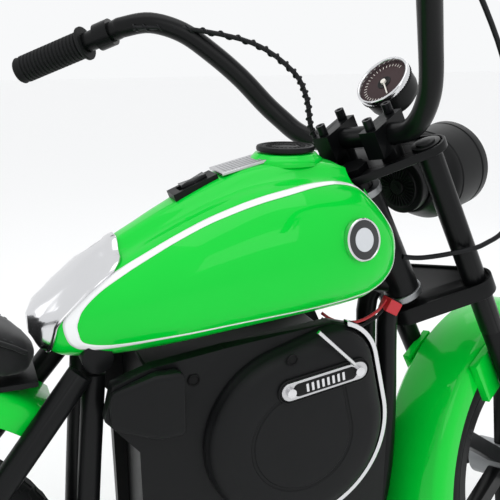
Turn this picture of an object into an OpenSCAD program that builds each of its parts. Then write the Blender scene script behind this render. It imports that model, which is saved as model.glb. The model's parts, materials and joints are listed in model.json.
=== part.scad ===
// Child's battery ride-on cruiser motorcycle. X points forward, Y to the rider's left, Z up.
// The origin is the centre of the rear axle, on the middle plane of the bike.

/* [Wheels] */
// Outer radius of both tyres
tyre_r = 195; // [185:1:198]
// Width of each tyre
tyre_w = 58; // [50:1:62]
// Distance from the rear axle to the steering axis, measured at the upper clamp
stem_x = 500; // [496:1:504]

/* [Steering] */
// Height of the upper clamp's centre above the rear axle
stem_z = 396; // [394:1:398]
// Rake: lean of the steering axis from upright, in degrees
rake = 26; // [25.5:0.5:26.5]
// How far the bars are turned to the left as the bike is parked, in degrees
steer_rest = 23; // [18:1:24]
// Distance between the centres of the fork legs
leg_spacing = 122; // [118:1:126]
// Distance of the fork legs ahead of the steering axis
leg_offset = 46; // [44:1:48]
// Distance down the steering axis from the upper to the lower clamp
clamp_gap = 166; // [160:1:170]

/* [Handlebar] */
// Diameter of the handlebar tube
bar_d = 22.2; // [22:0.1:22.4]
// Height of the bar's centre above the upper clamp
bar_rise = 28; // [26:1:30]
// Distance of the bar's centre ahead of the steering axis
bar_ahead = 29; // [27:1:31]
// Distance between the two bar clamps
riser_spacing = 62; // [60:1:66]

/* [Tank] */
// Thickness of the tank's moulded wall
tank_wall = 3; // [2.5:0.5:4]
// Height of the raised spine along the top of the tank
spine_h = 8; // [6:1:9]

/* [Hidden] */
$fn = 48;
green = "#00CC3C";
black = "#1C1E20";
silver = "#CDCDCF";

ground_z = -tyre_r;
fork_len = 467.4;
axle_ahead = 56;
leg_y = leg_spacing / 2;
plate_t = 5;

function unit(v) = v / norm(v);
function flip_y(pts) = [for (p = pts) [p[0], -p[1], p[2]]];
// Points of a smooth curve through pts, with n steps between each pair
function curve(pts, n) = [for (i = [0:len(pts) - 2], k = [0:n - 1])
    curve_point(pts[max(i - 1, 0)], pts[i], pts[i + 1], pts[min(i + 2, len(pts) - 1)], k / n),
    pts[len(pts) - 1]];
function curve_point(a, b, c, d, t) = 0.5 * (2 * b + (c - a) * t
    + (2 * a - 5 * b + 4 * c - d) * t * t + (3 * b - a - 3 * c + d) * t * t * t);
// Value of column c of a table at x, on a smooth curve through its rows
function row_at(table, x) = len([for (r = table) if (r[0] <= x) 1]) - 1;
function smooth_lookup(table, x, c, i) = curve_point(table[max(i - 1, 0)][c], table[i][c],
    table[i + 1][c], table[min(i + 2, len(table) - 1)][c], (x - table[i][0]) / (table[i + 1][0] - table[i][0]));
function table_at(table, x, c) = smooth_lookup(table, x, c, min(row_at(table, x), len(table) - 2));

// Skin over a list of rings that all have the same number of points, closed at both ends
module skin(rings) {
    n = len(rings[0]);
    last = len(rings) - 1;
    sides = [for (i = [0:last - 1], k = [0:n - 1], half = [0, 1])
        half == 0 ? [i * n + k, (i + 1) * n + (k + 1) % n, i * n + (k + 1) % n]
                  : [i * n + k, (i + 1) * n + k, (i + 1) * n + (k + 1) % n]];
    polyhedron([for (r = rings) each r], concat(sides,
        [[for (k = [0:n - 1]) k]], [[for (k = [n - 1:-1:0]) last * n + k]]));
}

// Round tube along a path; side is any direction that the path never runs along
module swept(path, r, side = [0, 1, 0], n = 12) {
    last = len(path) - 1;
    skin([for (i = [0:last])
        let (t = unit(path[min(i + 1, last)] - path[max(i - 1, 0)]), u = unit(cross(side, t)), v = cross(t, u))
        [for (k = [0:n - 1]) path[i] + r * (cos(360 * k / n) * u + sin(360 * k / n) * v)]]);
}

// Straight round bar from a to b
module rod(a, b, r) {
    d = b - a;
    translate(a) rotate([0, acos(d[2] / norm(d)), atan2(d[1], d[0])]) cylinder(h = norm(d), r = r);
}

module across(y0, y1, r) { translate([0, y1, 0]) rotate([90, 0, 0]) cylinder(h = y1 - y0, r = r); }
module both_sides() { for (s = [0, 1]) mirror([0, s, 0]) children(); }
// Places its children in the fork's own frame: z up the steering axis, x forward, y left
module on_fork(turn = steer_rest) {
    translate([stem_x, 0, stem_z]) rotate([0, -rake, 0]) rotate([0, 0, turn]) children();
}

// ---- Frame ----
head_r = 19;
head_top = -16;
head_bottom = -clamp_gap + 12;
cradle_y = 34;

module main_frame() color(black) difference() {
    union() {
        on_fork(0) translate([0, 0, head_bottom + 8]) cylinder(h = head_top - head_bottom - 16, r = head_r);
        rod([stem_x + 24, 0, stem_z - 84], [222, 0, 262], 14);
        rod([stem_x + 50, 0, stem_z - 124], [stem_x - 40, 0, stem_z - 108], 9);
        translate([219, 0, 256]) across(-48, 48, 14);
    }
    on_fork(0) translate([0, 0, -300]) cylinder(h = 400, r = 16);
}

module cradle(side) {
    path = curve([[540, 20, 262], [533, 22, 236], [538, 22, 125], [532, 26, 40], [506, 34, -30], [452, cradle_y, -66],
        [360, cradle_y, -72], [262, cradle_y, -72], [212, cradle_y, -60], [197, cradle_y, -16],
        [204, cradle_y, 100], [217, cradle_y, 238]], 3);
    color(black) swept(side > 0 ? path : flip_y(path), 11);
}
module lower_cradle() color(black) {
    cradle(1);
    cradle(-1);
    for (x = [452, 262]) translate([x, 0, x > 300 ? -66 : -72]) across(-cradle_y, cradle_y, 7);
    translate([stand_pivot[0] - 14, cradle_y + 4, stand_pivot[2] - 14]) cube([28, 16, 28]);
    translate([stand_pivot[0], 0, stand_pivot[2]]) across(cradle_y + 12, stand_pivot[1] + 10, 5);
}

stay_y = 74;
module rear_stays() color(black) {
    both_sides() difference() {
        union() {
            rod([203, 47, 244], [8, stay_y, 8], 12);
            rod([190, 47, -30], [10, stay_y, -3], 10);
            across(stay_y - 6, stay_y + 6, 24);
        }
        across(50, 100, 6.05);
    }
    translate([208, 0, 30]) across(-40, 40, 9);
}

module headset_cups() color(silver) on_fork(0) {
    for (z = [head_top - 8, head_bottom]) translate([0, 0, z]) difference() {
        cylinder(h = 8, r = head_r + 2);
        translate([0, 0, -1]) cylinder(h = 10, r = 13.05);
    }
}

// ---- Tank ----
// Along the tank: x, half width, height of the shoulder, height of the underside, height of the widest line
tank_table = [[168, 10, 290, 274, 282], [174, 28, 300, 262, 284], [190, 42, 314, 252, 288],
    [215, 54, 333, 249, 294], [250, 68, 348, 250, 304], [290, 82, 369, 255, 314], [330, 92, 389, 261, 322],
    [370, 98, 405, 266, 328], [410, 100, 411, 270, 332], [450, 96, 409, 273, 334], [474, 89, 401, 276, 335],
    [490, 81, 382, 282, 335], [503, 70, 368, 294, 334], [511, 56, 356, 308, 333], [516, 40, 345, 322, 333]];
tank_stations = [168, 170, 174, 181, 190, 202, 215, 232, 250, 270, 290, 310, 330, 350, 370, 390, 410, 430,
    450, 463, 474, 483, 490, 497, 503, 508, 511, 514, 516];
mouth = 27;
function power(v, e) = sign(v) * pow(abs(v), e);
function within(v) = max(0, min(1, v));
function spine_half(x) = 20 + 18 * within((x - 240) / 180);
function spine_at(y, x) = spine_h * within((x - 200) / 60) * within((spine_half(x) - abs(y)) / 12);
function tank_point(x, a, inset) = let (
    w = table_at(tank_table, x, 1) - inset,
    top = table_at(tank_table, x, 2) - inset,
    low = table_at(tank_table, x, 3) + inset,
    mid = table_at(tank_table, x, 4),
    up = sin(a) > 0,
    y = w * power(cos(a), up ? 0.88 : 0.76),
    z = mid + (up ? top - mid : mid - low) * power(sin(a), up ? 0.88 : 0.76))
    [x, y, z + (up ? spine_at(y, x) : 0)];
function mouth_angle(x, inset) = -acos(pow(min(0.8, mouth / (table_at(tank_table, x, 1) - inset)), 1 / 0.76));
function tank_ring(x, inset, n) = let (a0 = mouth_angle(x, inset))
    [for (k = [0:n]) tank_point(x, a0 + (180 - 2 * a0) * k / n, inset)];
function tank_section(x, n) = concat(tank_ring(x, 0, n),
    [for (k = [n:-1:0]) tank_ring(x, min(tank_wall, table_at(tank_table, x, 1) * 0.3), n)[k]]);

module tank_shell() color(green) resize([0, 0, 0]) difference() {
    skin([for (x = tank_stations) tank_section(x, 20)]);
    on_fork(0) translate([0, 0, -130]) cylinder(h = 170, r = 34, $fn = 32);
    for (s = [-1, 1]) on_fork(24.2 * s) translate([0, 0, -3.4]) linear_extrude(plate_t + 3) clamp_outline(25, 20.4);
    translate([215, 0, 256]) across(-60, 60, 17, $fn = 24);
}

module on_spine(x, tilt) { translate([x, 0, table_at(tank_table, x, 2) + spine_h]) rotate([0, -tilt, 0]) children(); }

module tank_pad() color(silver) hull() {
    for (p = [[238, 13, 348], [212, 20, 331], [188, 25, 313], [171, 24, 293]])
        for (s = [-1, 1]) translate([p[0], s * p[1], p[2]]) rotate([0, -38, 0]) cylinder(h = 5, r = 9, $fn = 24);
}

module filler_cap() color(black) on_spine(420, 1) {
    cylinder(h = 6, r = 29);
    translate([0, 0, 6]) cylinder(h = 4, r1 = 27, r2 = 20);
}

module info_plate() color(silver) on_spine(370, 13) translate([-22, -19, -1]) cube([46, 38, 3]);

module switch_housing() color(black) on_spine(326, 22) difference() {
    translate([-23, -12, -3]) cube([46, 24, 8]);
    translate([-15, -7, 0]) cube([30, 14, 8]);
    rotate([0, 22, 0]) translate([0, 0, 4]) across(-9, 9, 2.05);
}
switch_pivot = [326, 0, table_at(tank_table, 326, 2) + spine_h + 4];
module switch_rocker() color(black) translate(switch_pivot) rotate([0, -22, 0]) {
    translate([0, 6, 0]) rotate([90, 0, 0]) linear_extrude(12) polygon([[-13, -1.2], [-2, -2.2], [2, -2.2],
        [13, -1.2], [13, 4.6], [0, 3.2], [-13, 4.6]]);
    across(-8.5, 8.5, 2);
}

badge_x = 457;
module tank_badges() color(silver) both_sides()
    translate([badge_x, table_at(tank_table, badge_x, 1) - 1, 354]) rotate([-76, 0, -18]) cylinder(h = 5, r = 20);

// ---- Engine dummy, battery and electrics ----
engine_y = 66;
round_x = 402;
round_z = 160;
round_r = 94;
module engine_core() color(black) difference() {
    translate([262, -engine_y + 8, -50]) cube([198, 2 * engine_y - 16, 290]);
    translate([270, -engine_y + 14, -42]) cube([182, 2 * engine_y - 28, 274]);
}

module engine_cover() color(black) difference() {
    translate([0, engine_y - 8, 0]) rotate([-90, 0, 0]) linear_extrude(14) mirror([0, 1, 0])
        polygon([[250, 30], [248, 170], [218, 206], [226, 238], [262, 250], [330, 258], [440, 268], [474, 258],
            [498, 206], [508, 160], [506, -20], [480, -58], [280, -58]]);
    for (p = [[300, 232], [290, -30], [488, -34]]) translate([p[0], 0, p[1]]) across(engine_y - 2, engine_y + 20, 5);
}
module engine_covers() both_sides() engine_cover();

// Outline of the big round cover, seen from the side, grown by a margin
module cover_outline(margin) hull() {
    translate([round_x, round_z]) circle(r = round_r + margin, $fn = 96);
    translate([round_x + 36, round_z + 62]) circle(r = 45 + margin, $fn = 48);
}
// Stands a side view's outline up on the engine cover, at a height above it
module on_cover(height) { translate([0, engine_y + 6 + height, 0]) rotate([-90, 0, 0]) mirror([0, 1, 0]) children(); }
module round_cover() color(black) {
    on_cover(0) linear_extrude(10) cover_outline(0);
    on_cover(10) linear_extrude(6) cover_outline(-4);
    on_cover(16) linear_extrude(5) cover_outline(-10);
}
module round_covers() both_sides() round_cover();

module cover_trims() color(silver) both_sides() on_cover(0) linear_extrude(9) intersection() {
    difference() {
        cover_outline(5.4);
        cover_outline(0.4);
    }
    polygon([[452, 320], [452, round_z], [round_x, round_z], [440, 20], [600, 20], [600, 320]]);
}

plate_mid = [422, engine_y + 28.6, round_z + 60];
module name_plates() color(silver) both_sides() translate(plate_mid) rotate([90, -8, 0])
    difference() {
        union() {
            translate([-36, -9, -1.5]) cube([72, 18, 3]);
            for (s = [-36, 36]) translate([s, 0, -1.5]) cylinder(h = 3, r = 9);
        }
        for (s = [-36, 36]) translate([s, 0, -5]) cylinder(h = 10, r = 2);
    }
module plate_screws() color(silver) both_sides() translate(plate_mid) rotate([90, -8, 0])
    for (s = [-36, 36]) translate([s, 0, 0]) {
        translate([0, 0, -4.5]) cylinder(h = 3, r = 4.5);
        translate([0, 0, -1.6]) cylinder(h = 3, r = 1.95);
    }

module push_rods() color(silver) both_sides() rod([412, 98.4, 272], [451, 98.4, 234], 1.9);

module air_box() color(black) both_sides() hull() {
    translate([222, engine_y + 6, 200]) cube([8, 8, 34]);
    translate([262, engine_y + 6, 186]) cube([26, 15, 62]);
}

module battery_pack() color("dimgray") translate([274, -46, -38]) cube([116, 92, 150]);
module motor_controller() color("gray") translate([394, -40, -38]) cube([54, 80, 90]);

module charge_plug() color("#C22A34") translate([526, -22, 262]) rotate([0, 30, 0]) translate([-2, -16, -7]) cube([16, 16, 14]);
module charge_leads() color("#B02030") for (d = [0, 6])
    swept(curve([[526, -30, 266 - d], [512, -34, 256 - d], [488, -38, 250 - d], [462, -36, 254 - d],
        [450, -30, 262 - d]], 3), 1.6, n = 8);

// ---- Seat and rear fender ----
fender_c = [22, 20];
fender_r = 240;
module fender_strip(r, w, a0, a1, t = 3, skirt = 26) {
    rotate([90, 0, 0]) rotate_extrude(angle = a1 - a0, start = a0, $fn = 96) polygon([[r, -w / 2], [r, w / 2],
        [r - 6, w / 2 + 7], [r - skirt, w / 2 + 9], [r - skirt, w / 2 + 9 - t], [r - 6 - t, w / 2 + 7 - t],
        [r - t, w / 2 - t], [r - t, -w / 2 + t], [r - 6 - t, -w / 2 - 7 + t], [r - skirt, -w / 2 - 9 + t],
        [r - skirt, -w / 2 - 9], [r - 6, -w / 2 - 7]]);
}
module rear_fender() color(green) translate([fender_c[0], 0, fender_c[1]]) fender_strip(fender_r, 74, 48, 168);

module seat_pan() color(black) {
    translate([0, 0, 266]) linear_extrude(5) polygon([[88, -62], [20, -84], [-60, -84], [-96, -54], [-96, 54],
        [-60, 84], [20, 84], [88, 62]]);
    translate([80, -34, 232]) cube([88, 68, 5]);
    translate([80, -34, 237]) cube([8, 68, 29]);
    for (x = [-40, 40]) translate([x, 0, fender_c[1] + sqrt(pow(fender_r, 2) - pow(abs(x - fender_c[0]) - 8, 2))])
        cylinder(h = 246 - sqrt(pow(fender_r, 2) - pow(abs(x - fender_c[0]) - 8, 2)), r = 8);
}
module seat_pad() color(black) {
    hull() for (side = [-1, 1]) {
        translate([-70, side * 62, 291]) scale([1, 1, 0.6]) sphere(r = 32, $fn = 24);
        translate([20, side * 66, 271.4]) cylinder(h = 34, r = 28, $fn = 24);
        translate([98, side * 42, 271.4]) cylinder(h = 26, r = 18, $fn = 24);
    }
    hull() for (side = [-1, 1]) {
        translate([106, side * 40, 271.4]) cylinder(h = 25, r = 12, $fn = 24);
        translate([134, side * 20, 265]) sphere(r = 24, $fn = 24);
        translate([151, side * 14, 256]) sphere(r = 18, $fn = 24);
    }
}

module tail_lamp() color("#B01822") translate([fender_c[0], 0, fender_c[1]]) rotate([0, -148, 0])
    translate([fender_r, 0, 0]) rotate([0, 90, 0]) cylinder(h = 22, r1 = 26, r2 = 22);

module foot_pegs() color(black) both_sides() {
    translate([420, 0, -72]) across(cradle_y + 11, 150, 7);
    translate([420, 0, -72]) across(80, 148, 13);
}

// ---- Rear wheel and brake ----
module rear_axle() color(silver) {
    across(-82, 82, 6);
    across(-97, 97, 5);
}
module motor_stator() color("gray") difference() {
    across(-22, 22, 52);
    across(-30, 30, 6);
}
module rear_hub() color(silver) difference() {
    across(-32, 32, 62);
    across(-26, 26, 56);
    across(-40, 40, 6.05);
}
module wheel_rim(hub_r) color(black) difference() {
    union() {
        difference() {
            across(-24, 24, 142);
            across(-30, 30, 128);
        }
        for (a = [0:60:300]) rotate([0, a, 0]) translate([hub_r - 2, -9, -9]) cube([130 - hub_r + 2, 18, 18]);
    }
    across(-40, 40, hub_r);
}
module rear_rim() wheel_rim(62);
module tyre() {
    rotate([90, 0, 0]) rotate_extrude($fn = 96) polygon([[142, -24], [150, -tyre_w / 2], [172, -tyre_w / 2],
        [186, -tyre_w / 2 + 8], [tyre_r - 2, -12], [tyre_r, -8], [tyre_r, 8], [tyre_r - 2, 12],
        [186, tyre_w / 2 - 8], [172, tyre_w / 2], [150, tyre_w / 2], [142, 24]]);
}
module rear_tyre() color(black) tyre();
module brake_disc() color(silver) difference() {
    union() {
        across(38, 41, 60);
        across(32, 39, 30);
    }
    across(30, 50, 14);
}
module brake_caliper() color("gray") rotate([0, 40, 0]) difference() {
    translate([44, 33, -16]) cube([34, 34, 32]);
    translate([30, 35.5, -20]) cube([34, 8, 40]);
}

// ---- Stand ----
stand_pivot = [228, 62, -72];
module kick_stand() color(black) difference() {
    union() {
        translate([stand_pivot[0], 0, stand_pivot[2]]) across(stand_pivot[1] - 5, stand_pivot[1] + 7, 11);
        rod([stand_pivot[0], 68, stand_pivot[2] - 6], [stand_pivot[0] + 14, 130, ground_z + 8], 6.5);
        translate([stand_pivot[0] + 14, 132, ground_z]) cylinder(h = 7, r = 17);
    }
    translate([stand_pivot[0], 0, stand_pivot[2]]) across(stand_pivot[1] - 20, stand_pivot[1] + 12, 5.05);
}

// ---- Fork ----
// Outline of both clamps: stem boss behind, a leg boss at each end, straight front edge
module clamp_outline(boss, leg) {
    hull() for (s = [-1, 1]) translate([leg_offset, s * leg_y]) circle(r = leg, $fn = 32);
    hull() {
        circle(r = boss, $fn = 32);
        for (s = [-1, 1]) translate([leg_offset, s * leg_y * 0.98]) circle(r = leg * 0.96, $fn = 32);
    }
}
module steering_stem() color(black) on_fork() difference() {
    union() {
        translate([0, 0, -clamp_gap - 12]) cylinder(h = clamp_gap + 10, r = 13);
        translate([0, 0, -clamp_gap - 12]) linear_extrude(16) clamp_outline(24, 18);
    }
    for (s = [-1, 1]) translate([leg_offset, s * leg_y, -clamp_gap - 20]) cylinder(h = 40, r = 13);
}
module upper_clamp() color(black) on_fork() {
    translate([0, 0, -2]) linear_extrude(plate_t) difference() {
        clamp_outline(24, 19);
        circle(r = 13);
        for (s = [-1, 1]) translate([leg_offset, s * leg_y]) circle(r = 13);
    }
}
module fork_upper_tubes() color(black) on_fork() for (s = [-1, 1]) translate([leg_offset, s * leg_y, -230])
    cylinder(h = 233, r = 13);
module top_nuts() color(black) on_fork() {
    translate([0, 0, -2]) cylinder(h = 5, r = 13);
    translate([0, 0, 3]) cylinder(h = 7, r = 16, $fn = 6);
    for (s = [-1, 1]) translate([leg_offset, s * leg_y, 3]) {
        cylinder(h = 3, r = 15);
        translate([0, 0, 3]) cylinder(h = 2, r = 10);
    }
}
module fork_lower_legs() color(black) on_fork() for (s = [-1, 1]) difference() {
    union() {
        translate([leg_offset, s * leg_y, -fork_len + 12]) cylinder(h = fork_len - 242, r = 12.5);
        translate([axle_ahead, s * leg_y, -fork_len]) rotate([90, 0, 0]) translate([0, 0, -8]) cylinder(h = 16, r = 18);
    }
    translate([axle_ahead, s * leg_y, -fork_len]) rotate([90, 0, 0]) translate([0, 0, -20]) cylinder(h = 40, r = 6);
}

riser_y = riser_spacing / 2;
module bar_risers() color(black) on_fork() for (s = [-1, 1]) difference() {
    union() {
        translate([bar_ahead, s * riser_y, 3]) cylinder(h = 14, r = 12);
        translate([bar_ahead - 25, s * riser_y - 10, 13]) cube([50, 20, 30]);
    }
    translate([bar_ahead, 0, bar_rise]) across(-60, 60, bar_d / 2);
    for (x = [-17.5, 17.5]) translate([bar_ahead + x, s * riser_y, 5]) cylinder(h = 60, r = 3);
}
module riser_bolts() color(black) on_fork() for (s = [-1, 1], x = [-17.5, 17.5])
    translate([bar_ahead + x, s * riser_y, 0]) difference() {
        union() {
            translate([0, 0, 16]) cylinder(h = 27, r = 3);
            translate([0, 0, 43]) cylinder(h = 11, r = 5);
        }
        translate([0, 0, 49]) cylinder(h = 10, r = 2.6, $fn = 6);
    }

// Half of the bar, from the centre section out to the grip
bar_route = [[bar_ahead, 44, bar_rise], [bar_ahead - 1, 64, bar_rise + 3], [bar_ahead - 3, 82, bar_rise + 15],
    [bar_ahead - 3, 97, bar_rise + 33], [bar_ahead - 5, 109, bar_rise + 54], [bar_ahead - 9, 124, bar_rise + 90],
    [bar_ahead - 17, 141, bar_rise + 126], [bar_ahead - 28, 159, bar_rise + 159], [bar_ahead - 45, 181, bar_rise + 182],
    [bar_ahead - 64, 204, bar_rise + 190]];
grip_dir = unit([-62, 98, 2]);
grip_len = 122;
bar_end = bar_route[len(bar_route) - 1] + grip_dir * 12;
module bar_half(s) {
    route = concat([[bar_ahead, 34, bar_rise]], bar_route, [bar_end]);
    swept(curve([for (p = route) [p[0], s * p[1], p[2]]], 3), bar_d / 2 - 0.02, side = [1, 0, 0], n = 18);
    rod([for (i = [0:2]) (bar_end - grip_dir * 5)[i] * (i == 1 ? s : 1)],
        [for (i = [0:2]) (bar_end + grip_dir * grip_len)[i] * (i == 1 ? s : 1)], bar_d / 2 - 0.4);
}
module handlebar() color(black) on_fork() {
    translate([bar_ahead, 0, bar_rise]) across(-44, 44, bar_d / 2);
    for (s = [-1, 1]) bar_half(s);
}
// A sleeve on the grip part of the bar, between two distances from its inner end
module on_grip(from) {
    d = grip_dir;
    translate(bar_end + d * from) rotate([0, acos(d[2]), atan2(d[1], d[0])]) children();
}
module grip_sleeve(bore) difference() {
    union() {
        cylinder(h = 4, r = 19);
        cylinder(h = 92, r = 15.5);
    }
    translate([0, 0, -1]) cylinder(h = 88, r = bore);
}
module left_grip() color(black) on_fork() on_grip(36) grip_sleeve(bar_d / 2 - 0.4);
module throttle_grip() color(black) on_fork() mirror([0, 1, 0]) on_grip(36) grip_sleeve(bar_d / 2 - 0.34);

lever_pivot = bar_end + grip_dir * 10 + [28.7, 18.2, 0];
module lever_perches() color(black) on_fork() both_sides() difference() {
    union() {
        on_grip(2) cylinder(h = 18, r = 15);
        hull() {
            translate(bar_end + grip_dir * 10 + [12, 7.6, -9]) cylinder(h = 5, r = 7, $fn = 24);
            translate(lever_pivot + [0, 0, -9]) cylinder(h = 5, r = 8, $fn = 24);
        }
        translate(lever_pivot + [0, 0, -5]) cylinder(h = 8, r = 3);
    }
    on_grip(-5) cylinder(h = 40, r = bar_d / 2 - 0.4);
}
module lever_blade() difference() {
    union() {
        translate(lever_pivot + [0, 0, -3]) cylinder(h = 6, r = 8);
        rod(lever_pivot + [2, 4, 0], lever_pivot + [-16, 44, 0], 2.8);
        translate(lever_pivot + [-16, 44, 0]) sphere(r = 4.4, $fn = 24);
        rod(lever_pivot + [-16, 44, 0], lever_pivot + [-48, 96, -1], 4);
        translate(lever_pivot + [-48, 96, -1]) sphere(r = 6, $fn = 24);
    }
    translate(lever_pivot + [0, 0, -10]) cylinder(h = 20, r = 3.05);
}
module brake_lever_left() color(silver) on_fork() lever_blade();
module brake_lever_right() color(silver) on_fork() mirror([0, 1, 0]) lever_blade();

// ---- Gauge, lamp and horn ----
// Places its children at the middle of the gauge's face, with z out of the dial
gauge_mid = [91, 0, 63];
module on_gauge() { on_fork() translate(gauge_mid) rotate([0, -25, 0]) children(); }
module gauge_cup() color(black) {
    on_gauge() difference() {
        translate([0, 0, -36]) cylinder(h = 36, r = 31);
        translate([0, 0, -6]) cylinder(h = 8, r = 28);
    }
    on_fork() difference() {
        union() {
            translate([56, -8, 3]) cube([14, 16, 4]);
            rod([63, 0, 5], [101, 0, 34], 6);
        }
        translate([40, -20, -17]) cube([40, 40, 20]);
        translate(gauge_mid) rotate([0, -25, 0]) translate([0, 0, -36]) cylinder(h = 40, r = 40);
    }
}
module gauge_needle() color("white") on_gauge() {
    translate([0, 0, -5.7]) cylinder(h = 3, r = 3);
    rotate([0, 0, 215]) translate([2, -0.7, -4.5]) cube([19, 1.4, 1]);
}

// Places its children at the back of the headlamp, with z along its beam
lamp_drop = 16;
module on_lamp() { on_fork() translate([56, 0, -48]) rotate([0, 90 + lamp_drop, 0]) children(); }
module headlamp_bucket() color(black) {
    on_lamp() difference() {
        union() {
            translate([0, 0, 12]) cylinder(h = 6, r = 34);
            translate([0, 0, 18]) cylinder(h = 22, r1 = 36, r2 = 47);
            translate([0, 0, 40]) cylinder(h = 62, r = 50);
        }
        translate([0, 0, 48]) cylinder(h = 60, r = 46);
    }
    difference() {
        on_fork() {
            translate([50, -9, -6.5]) cube([66, 18, 4.5]);
            translate([104, -9, -22]) cube([16, 18, 20]);
        }
        on_lamp() translate([0, 0, 41]) cylinder(h = 70, r = 49);
    }
}
module headlamp_lens() color("#E8EEF2") on_lamp() {
    translate([0, 0, 97]) cylinder(h = 5, r = 46);
    translate([0, 0, 102]) cylinder(h = 6, r1 = 46, r2 = 30);
}
module horn() color(black) on_lamp() {
    cylinder(h = 12, r = 31);
    translate([0, 0, -3]) cylinder(h = 3, r = 24);
    translate([0, 0, -6]) cylinder(h = 3, r = 8);
}

// ---- Front fender, wheel and cables ----
fender_fr = 212;
module on_axle() { on_fork() translate([axle_ahead, 0, -fork_len]) children(); }
module front_fender() color(green) {
    on_axle() fender_strip(fender_fr, 66, 24, 172, skirt = 30);
    on_fork() for (s = [-1, 1]) difference() {
        translate([10, s * 46 - 4.5, -312]) cube([50, 9, 52]);
        translate([42, s * 46, -288]) across(-8, 8, 4);
        translate([leg_offset, s * leg_y, -400]) cylinder(h = 200, r = 13.3);
    }
}
module front_axle() color(silver) on_axle() across(-leg_y - 14, leg_y + 14, 6);
module front_hub() color(silver) on_axle() difference() {
    across(-38, 38, 24);
    across(-50, 50, 6.05);
}
module front_rim() on_axle() wheel_rim(24);
module front_tyre() color(black) on_axle() tyre();

// Control cable from the right lever, outside the right leg and back to the head tube
cable_route = [[-47, -206, 228], [10, -176, 214], [64, -150, 160], [106, -132, 60], [112, -118, -40],
    [84, -98, -112], [50, -86, -118], [24, -66, -112], [2, -42, -104], [-14, -32, -92]];
// Wrapped wiring from the left switch down to the upper clamp
wrap_route = [[-36, 186, 214], [0, 150, 190], [30, 96, 150], [34, 60, 110], [28, 50, 80], [17, 50, 50], [12, 44, 20], [11, 40, 3]];
module control_cables() color(black) on_fork() {
    swept(curve(cable_route, 4), 2.6, side = [0.3, 0, 1], n = 8);
    swept(curve(wrap_route, 4), 4, side = [0.9, 0.1, 0], n = 8);
}

main_frame();
lower_cradle();
rear_stays();
headset_cups();
tank_shell();
tank_pad();
filler_cap();
info_plate();
switch_housing();
switch_rocker();
tank_badges();
engine_core();
engine_covers();
round_covers();
cover_trims();
name_plates();
plate_screws();
push_rods();
air_box();
battery_pack();
motor_controller();
charge_plug();
charge_leads();
seat_pan();
seat_pad();
rear_fender();
tail_lamp();
foot_pegs();
rear_axle();
motor_stator();
brake_caliper();
kick_stand();
rear_hub();
rear_rim();
rear_tyre();
brake_disc();
steering_stem();
upper_clamp();
top_nuts();
fork_upper_tubes();
fork_lower_legs();
bar_risers();
riser_bolts();
handlebar();
left_grip();
throttle_grip();
lever_perches();
brake_lever_left();
brake_lever_right();
gauge_cup();
gauge_needle();
headlamp_bucket();
headlamp_lens();
horn();
front_fender();
front_axle();
front_hub();
front_rim();
front_tyre();
control_cables();
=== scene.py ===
import json
import math

import bmesh
import bpy
from mathutils import Matrix, Vector


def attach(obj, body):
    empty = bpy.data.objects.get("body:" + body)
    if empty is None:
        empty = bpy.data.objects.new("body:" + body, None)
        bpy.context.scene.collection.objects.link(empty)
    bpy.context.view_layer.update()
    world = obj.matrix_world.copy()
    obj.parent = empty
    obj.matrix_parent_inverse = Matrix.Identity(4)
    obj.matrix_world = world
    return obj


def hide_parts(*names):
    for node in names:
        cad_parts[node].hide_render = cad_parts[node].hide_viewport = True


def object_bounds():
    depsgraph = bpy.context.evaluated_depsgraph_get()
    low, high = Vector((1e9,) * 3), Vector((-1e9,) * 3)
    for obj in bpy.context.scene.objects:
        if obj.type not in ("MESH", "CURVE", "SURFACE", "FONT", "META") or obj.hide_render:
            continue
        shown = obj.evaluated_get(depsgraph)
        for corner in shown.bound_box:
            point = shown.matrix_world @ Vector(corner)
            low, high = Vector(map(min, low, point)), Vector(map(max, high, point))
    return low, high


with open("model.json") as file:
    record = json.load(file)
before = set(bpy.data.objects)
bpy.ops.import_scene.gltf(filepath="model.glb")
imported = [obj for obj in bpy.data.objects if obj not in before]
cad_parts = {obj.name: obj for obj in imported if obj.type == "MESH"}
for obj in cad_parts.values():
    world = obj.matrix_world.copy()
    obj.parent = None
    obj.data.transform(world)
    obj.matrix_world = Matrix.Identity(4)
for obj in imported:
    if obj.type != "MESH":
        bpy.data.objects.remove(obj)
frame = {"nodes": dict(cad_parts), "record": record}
cad_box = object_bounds()

# ---- Camera, floor and light ----
# The camera stands behind the bike on its right, a little above the tank, and looks down at it.
# The floor is matt pale paper and the light comes from soft boxes overhead and at both sides.
camera_data = bpy.data.cameras.new("camera")
camera_data.lens = 54.55
camera_data.sensor_width = 36
camera_data.shift_y = -0.002
camera_data.clip_start, camera_data.clip_end = 0.02, 50
camera = bpy.data.objects.new("camera", camera_data)
bpy.context.collection.objects.link(camera)
bpy.context.scene.camera = camera
camera_turn = Matrix(((0.92913, 0.0988, -0.3563), (-0.36975, 0.2483, -0.8953), (0, 0.9636, 0.26724)))
camera.matrix_world = Matrix.Translation((0.1143, -0.6769, 0.5305)) @ camera_turn.to_4x4()


def paint(code):
    """Turns an sRGB hex colour to linear RGBA."""
    parts = [int(code[i : i + 2], 16) / 255 for i in (1, 3, 5)]
    return tuple(c / 12.92 if c <= 0.04045 else ((c + 0.055) / 1.055) ** 2.4 for c in parts) + (1,)


def add(tree, kind, values=None, links=None, **settings):
    """Adds a node with its settings, input values and links, and returns it."""
    made = tree.nodes.new(kind)
    for name, value in settings.items():
        setattr(made, name, value)
    for name, value in (values or {}).items():
        made.inputs[name].default_value = value
    for name, (source, output) in (links or {}).items():
        tree.links.new(source.outputs[output], made.inputs[name])
    return made


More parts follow.
